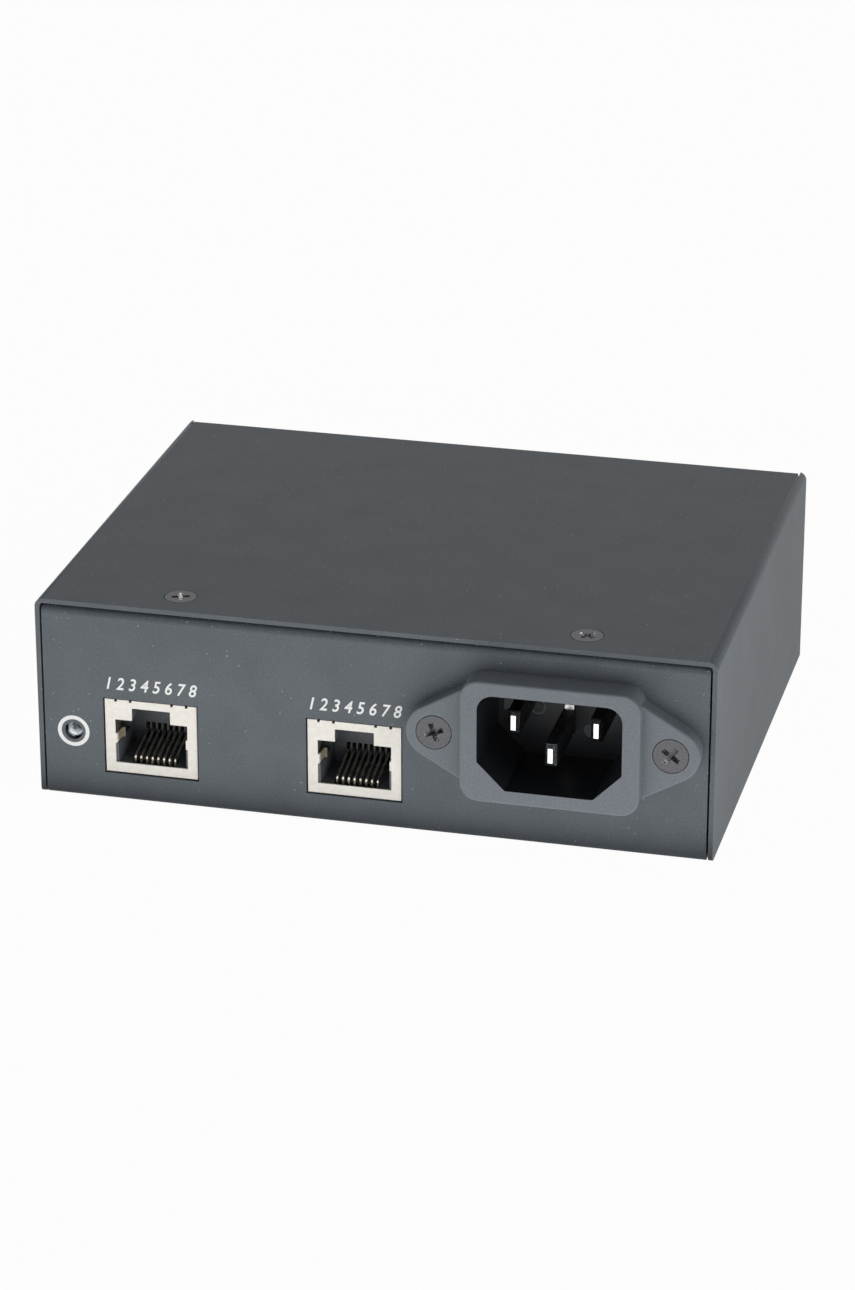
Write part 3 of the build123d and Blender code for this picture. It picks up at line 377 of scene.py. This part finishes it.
# ---- Operators ----
class INJECTOR_OT_finishes(bpy.types.Operator):
    """Gives every part of the frame the finish of its material slot"""
    bl_idname = "injector.finishes"
    bl_label = "Finish the parts"

    def execute(self, context):
        materials = make_materials()
        for part in frame["record"]["subparts"]:
            data = NODES[part["node"]].data
            data.materials.clear()
            data.materials.append(materials[part["material_slot"]])
        # painted highlight: cut edges get a paler colour and a lower roughness, so they show a pale line as if
        # catching light
        edge_highlight_coat = moulded("coat edge with painted highlight", "#757B81", "#969CA2", 0.3, 0.5, 0.005, 1.45)
        for node in SOFT_EDGED:
            NODES[node].data.materials.append(edge_highlight_coat)
        return {"FINISHED"}


class INJECTOR_OT_edges(bpy.types.Operator):
    """Rounds the cut edges of the folded sheets and the inlet a little"""
    bl_idname = "injector.edges"
    bl_label = "Soften cut edges"

    def execute(self, context):
        radius = context.scene.injector_look.edge_radius
        for node in SOFT_EDGED:
            part = NODES[node]
            weld = part.modifiers.new("weld", "WELD")
            weld.merge_threshold = 0.001 * MM
            soft = part.modifiers.new("soft edge", "BEVEL")
            soft.width = radius
            # the bevel gets the paler edge material, a painted highlight
            soft.material = 1
            soft.segments = 2
            soft.limit_method = "ANGLE"
            soft.angle_limit = math.radians(40)
        return {"FINISHED"}


class INJECTOR_OT_printing(bpy.types.Operator):
    """Prints the ring round the light and plain contact numbers over both jacks"""
    bl_idname = "injector.printing"
    bl_label = "Print the panel"

    def execute(self, context):
        look = context.scene.injector_look
        # pad-printed epoxy ink: dense white, slightly uneven at its edges
        ink = moulded("pad-printed white ink", "#E9E9E7", "#FAFAF8", 0.5, 0.25, 0.004)
        led_low, led_high = (Vector(corner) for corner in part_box("status_led"))
        centre = Vector(((led_low.x + led_high.x) / 2, FRONT, LIGHT_HEIGHT))
        deselect()
        bpy.ops.mesh.primitive_circle_add(vertices=96, radius=look.ring_outer, fill_type="NGON", location=centre,
                                          rotation=UPRIGHT)
        ring = context.object
        bpy.ops.object.mode_set(mode="EDIT")
        bpy.ops.mesh.inset(thickness=look.ring_outer - look.ring_inner, depth=0)
        bpy.ops.mesh.delete(type="FACE")
        bpy.ops.mesh.select_all(action="SELECT")
        bpy.ops.mesh.extrude_region_move(TRANSFORM_OT_translate={"value": (0, -PRINT_THICKNESS, 0)})
        bpy.ops.mesh.select_all(action="SELECT")
        bpy.ops.mesh.normals_make_consistent(inside=False)
        bpy.ops.object.mode_set(mode="OBJECT")
        settle(ring, "light_ring_print", ink)

        for jack in ("jack_1", "jack_2"):
            low, high = (Vector(corner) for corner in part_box(jack + "_shield"))
            place = Vector(((low.x + high.x) / 2, FRONT, high.z + NUMBERS_RISE))
            deselect()
            bpy.ops.object.text_add(location=place, rotation=UPRIGHT)
            text = context.object
            text.data.body = "1 2 3 4 5 6 7 8"
            text.data.align_x = "CENTER"
            text.data.size = look.digit_height * 1.36
            text.data.shear = 0.25
            text.data.offset = look.stroke
            text.data.extrude = PRINT_THICKNESS / 2
            text.data.resolution_u = 4
            bpy.ops.object.convert(target="MESH")
            row = context.object
            row.scale.x = look.row_width / row.dimensions.x
            settle(row, jack + "_numbers_print", ink)
        return {"FINISHED"}


class INJECTOR_OT_shoulder(bpy.types.Operator):
    """Models the bright shoulder that shows above and below the earth pin's root"""
    bl_idname = "injector.shoulder"
    bl_label = "Model the earth pin's shoulder"

    def execute(self, context):
        low, high = (Vector(corner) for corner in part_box("inlet_earth_pin"))
        # fresh nickel plating in its plain colour; it shows brighter than the pin's sides, which are painted dark
        # as shade
        plated = metal("fresh nickel plating", "#B4B3AE", "#E3E2DD", 0.3, 0.3, 0.004)
        centre = Vector(((low.x + high.x) / 2, FRONT + SHOULDER_BEHIND, (low.z + high.z) / 2))
        deselect()
        bpy.ops.mesh.primitive_cube_add(size=1, location=centre, scale=SHOULDER_SIZE)
        plate = context.object
        bpy.ops.object.transform_apply(location=True, rotation=True, scale=True)
        bpy.ops.object.mode_set(mode="EDIT")
        bpy.ops.mesh.select_all(action="SELECT")
        bpy.ops.mesh.bevel(offset=0.15 * MM, segments=2)
        bpy.ops.object.mode_set(mode="OBJECT")
        bpy.ops.object.shade_smooth_by_angle(angle=SMOOTH_ANGLE)
        settle(plate, "earth_pin_shoulder", plated)
        return {"FINISHED"}


class INJECTOR_OT_light(bpy.types.Operator):
    """Models the status light's reflector cup and die, seen through its clear lens"""
    bl_idname = "injector.light"
    bl_label = "Model the light's cup"

    def execute(self, context):
        low, high = (Vector(corner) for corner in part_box("status_led"))
        # stamped silver-plated lead frame: a small bright dish that glints through the resin
        silver = metal("silver-plated lead frame", "#B9BDC2", "#F0F1F3", 0.22, 0.2, 0.01)
        centre = Vector(((low.x + high.x) / 2, FRONT + CUP_BEHIND, LIGHT_HEIGHT))
        deselect()
        bpy.ops.mesh.primitive_cylinder_add(vertices=48, radius=CUP_RADIUS, depth=CUP_DEPTH, location=centre,
                                            rotation=UPRIGHT)
        cup = context.object
        bpy.ops.object.transform_apply(location=True, rotation=True, scale=True)
        self.dish(cup)
        bpy.ops.object.shade_smooth_by_angle(angle=SMOOTH_ANGLE)
        settle(cup, "light_reflector_cup", silver)
        return {"FINISHED"}

    def dish(self, cup):
        """Sinks a tapered dish into the cup's front face, with a small raised die in it."""
        data = cup.data
        front = min(face.center.y for face in data.polygons)
        bpy.ops.object.mode_set(mode="EDIT")
        bpy.ops.mesh.select_all(action="DESELECT")
        bpy.ops.object.mode_set(mode="OBJECT")
        for face in data.polygons:
            face.select = face.center.y < front + 0.01 * MM
        bpy.ops.object.mode_set(mode="EDIT")
        bpy.ops.mesh.select_mode(type="FACE")
        bpy.ops.mesh.inset(thickness=0.12 * MM, depth=0)
        bpy.ops.mesh.inset(thickness=0.45 * MM, depth=-0.6 * MM)
        bpy.ops.mesh.inset(thickness=0.2 * MM, depth=0)
        bpy.ops.mesh.extrude_region_move(TRANSFORM_OT_translate={"value": (0, -0.2 * MM, 0)})
        bpy.ops.object.mode_set(mode="OBJECT")


class INJECTOR_OT_stage(bpy.types.Operator):
    """Sets up the floor, the lamps, the surround and the camera"""
    bl_idname = "injector.stage"
    bl_label = "Set the stage"

    def execute(self, context):
        stage = context.scene.injector_stage
        context.scene.view_settings.view_transform = "Standard"
        self.floor(stage)
        self.surround(context, stage)
        self.softbox("key softbox", (-0.8, -0.8, 0.3), AIM, 0.5, 0.4, stage.key_power)
        self.softbox("side softbox", (0.85, -0.35, 0.25), AIM, 0.4, 0.5, stage.side_power)
        self.softbox("top softbox", (0.0, 0.05, 0.9), AIM, 0.7, 0.1, stage.top_power)
        # low behind the case, so that it reaches the rear wall and not the top
        fill = self.softbox("rear fill", (-0.35, 0.95, 0.05), AIM, 0.8, 0.09, stage.fill_power)
        fill.visible_glossy = False
        self.softbox("table glow", (0.0, -0.25, 0.0005), Vector((0.0, -0.25, 1.0)), 0.7, 0.4, stage.table_power)
        self.camera(context, stage)
        return {"FINISHED"}

    def white_where_seen(self, tree, shader_output, share):
        """Mixes a shader with plain white for what the camera, gloss and clear parts see."""
        path = add(tree, "ShaderNodeLightPath")
        seen = add(tree, "ShaderNodeMath", {0: path.outputs["Is Camera Ray"], 1: path.outputs["Is Glossy Ray"]},
                   operation="MAXIMUM").outputs[0]
        seen = add(tree, "ShaderNodeMath", {0: seen, 1: path.outputs["Is Transmission Ray"]},
                   operation="MAXIMUM").outputs[0]
        part = add(tree, "ShaderNodeMath", {0: seen, 1: share}, operation="MULTIPLY").outputs[0]
        white = add(tree, "ShaderNodeEmission", {"Color": linear("#FFFFFF"), "Strength": 1.0}).outputs[0]
        return add(tree, "ShaderNodeMixShader", {0: part, 1: shader_output, 2: white}).outputs[0]

    def floor(self, stage):
        """A plain white table that keeps a trace of the shadow."""
        deselect()
        bpy.ops.mesh.primitive_plane_add(size=6.0, location=(0, 0, 0))
        table = bpy.context.object
        table.name = "floor"
        material, tree, shader, place = new_material("white table", Roughness=0.9)
        tone = ramp(tree, noise(tree, place, 200.0), [(0.3, "#F2F2F2"), (0.7, "#F6F6F6")])
        tree.links.new(tone, shader.inputs["Base Color"])
        output = tree.nodes["Material Output"]
        tree.links.new(self.white_where_seen(tree, shader.outputs[0], stage.floor_white), output.inputs["Surface"])
        table.data.materials.append(material)

    def surround(self, context, stage):
        world = bpy.data.worlds.new("studio")
        world.use_nodes = True
        context.scene.world = world
        tree = world.node_tree
        ambient = tree.nodes["Background"]
        ambient.inputs["Color"].default_value = linear("#F4F7FF")
        ambient.inputs["Strength"].default_value = stage.world_level
        seen = self.white_where_seen(tree, ambient.outputs[0], 1.0)
        tree.links.new(seen, tree.nodes["World Output"].inputs["Surface"])

    def softbox(self, name, place, aim, width, height, power):
        """Rectangular lamp that points at a spot and isn't seen itself."""
        lamp = bpy.data.lights.new(name, "AREA")
        lamp.shape = "RECTANGLE"
        lamp.size = width
        lamp.size_y = height
        lamp.energy = power
        holder = bpy.data.objects.new(name, lamp)
        bpy.context.scene.collection.objects.link(holder)
        holder.location = place
        holder.rotation_euler = (Vector(aim) - Vector(place)).to_track_quat("-Z", "Y").to_euler()
        holder.visible_camera = False
        return holder

    def camera(self, context, stage):
        """Camera on a sphere round the aim point, level with the horizon."""
        flat = math.cos(stage.elevation)
        back = Vector((math.sin(stage.azimuth) * flat, -math.cos(stage.azimuth) * flat, math.sin(stage.elevation)))
        side = Vector((math.cos(stage.azimuth), math.sin(stage.azimuth), 0))
        data = bpy.data.cameras.new("camera")
        data.lens = stage.lens
        data.sensor_width = 36
        holder = bpy.data.objects.new("camera", data)
        context.scene.collection.objects.link(holder)
        turn = Matrix((side, back.cross(side), back)).transposed().to_4x4()
        turn.translation = AIM + back * stage.distance
        holder.matrix_world = turn
        context.scene.camera = holder


class INJECTOR_PT_panel(bpy.types.Panel):
    """Lists the looks' steps"""
    bl_idname = "INJECTOR_PT_panel"
    bl_label = "Injector"
    bl_space_type = "VIEW_3D"
    bl_region_type = "UI"
    bl_category = "Injector"

    def draw(self, context):
        for group in (context.scene.injector_look, context.scene.injector_stage):
            for name in group.__annotations__:
                self.layout.prop(group, name)
        for step in STEPS:
            self.layout.operator(step.bl_idname)


STEPS = (INJECTOR_OT_finishes, INJECTOR_OT_edges, INJECTOR_OT_printing, INJECTOR_OT_shoulder, INJECTOR_OT_light,
         INJECTOR_OT_stage)
CLASSES = (InjectorLook, InjectorStage) + STEPS + (INJECTOR_PT_panel,)


def register():
    for item in CLASSES:
        bpy.utils.register_class(item)
    bpy.types.Scene.injector_look = bpy.props.PointerProperty(type=InjectorLook)
    bpy.types.Scene.injector_stage = bpy.props.PointerProperty(type=InjectorStage)


def unregister():
    del bpy.types.Scene.injector_stage
    del bpy.types.Scene.injector_look
    for item in reversed(CLASSES):
        bpy.utils.unregister_class(item)


def main():
    register()
    bpy.ops.injector.finishes()
    bpy.ops.injector.edges()
    bpy.ops.injector.printing()
    bpy.ops.injector.shoulder()
    bpy.ops.injector.light()
    bpy.ops.injector.stage()


if __name__ == "__main__":
    main()
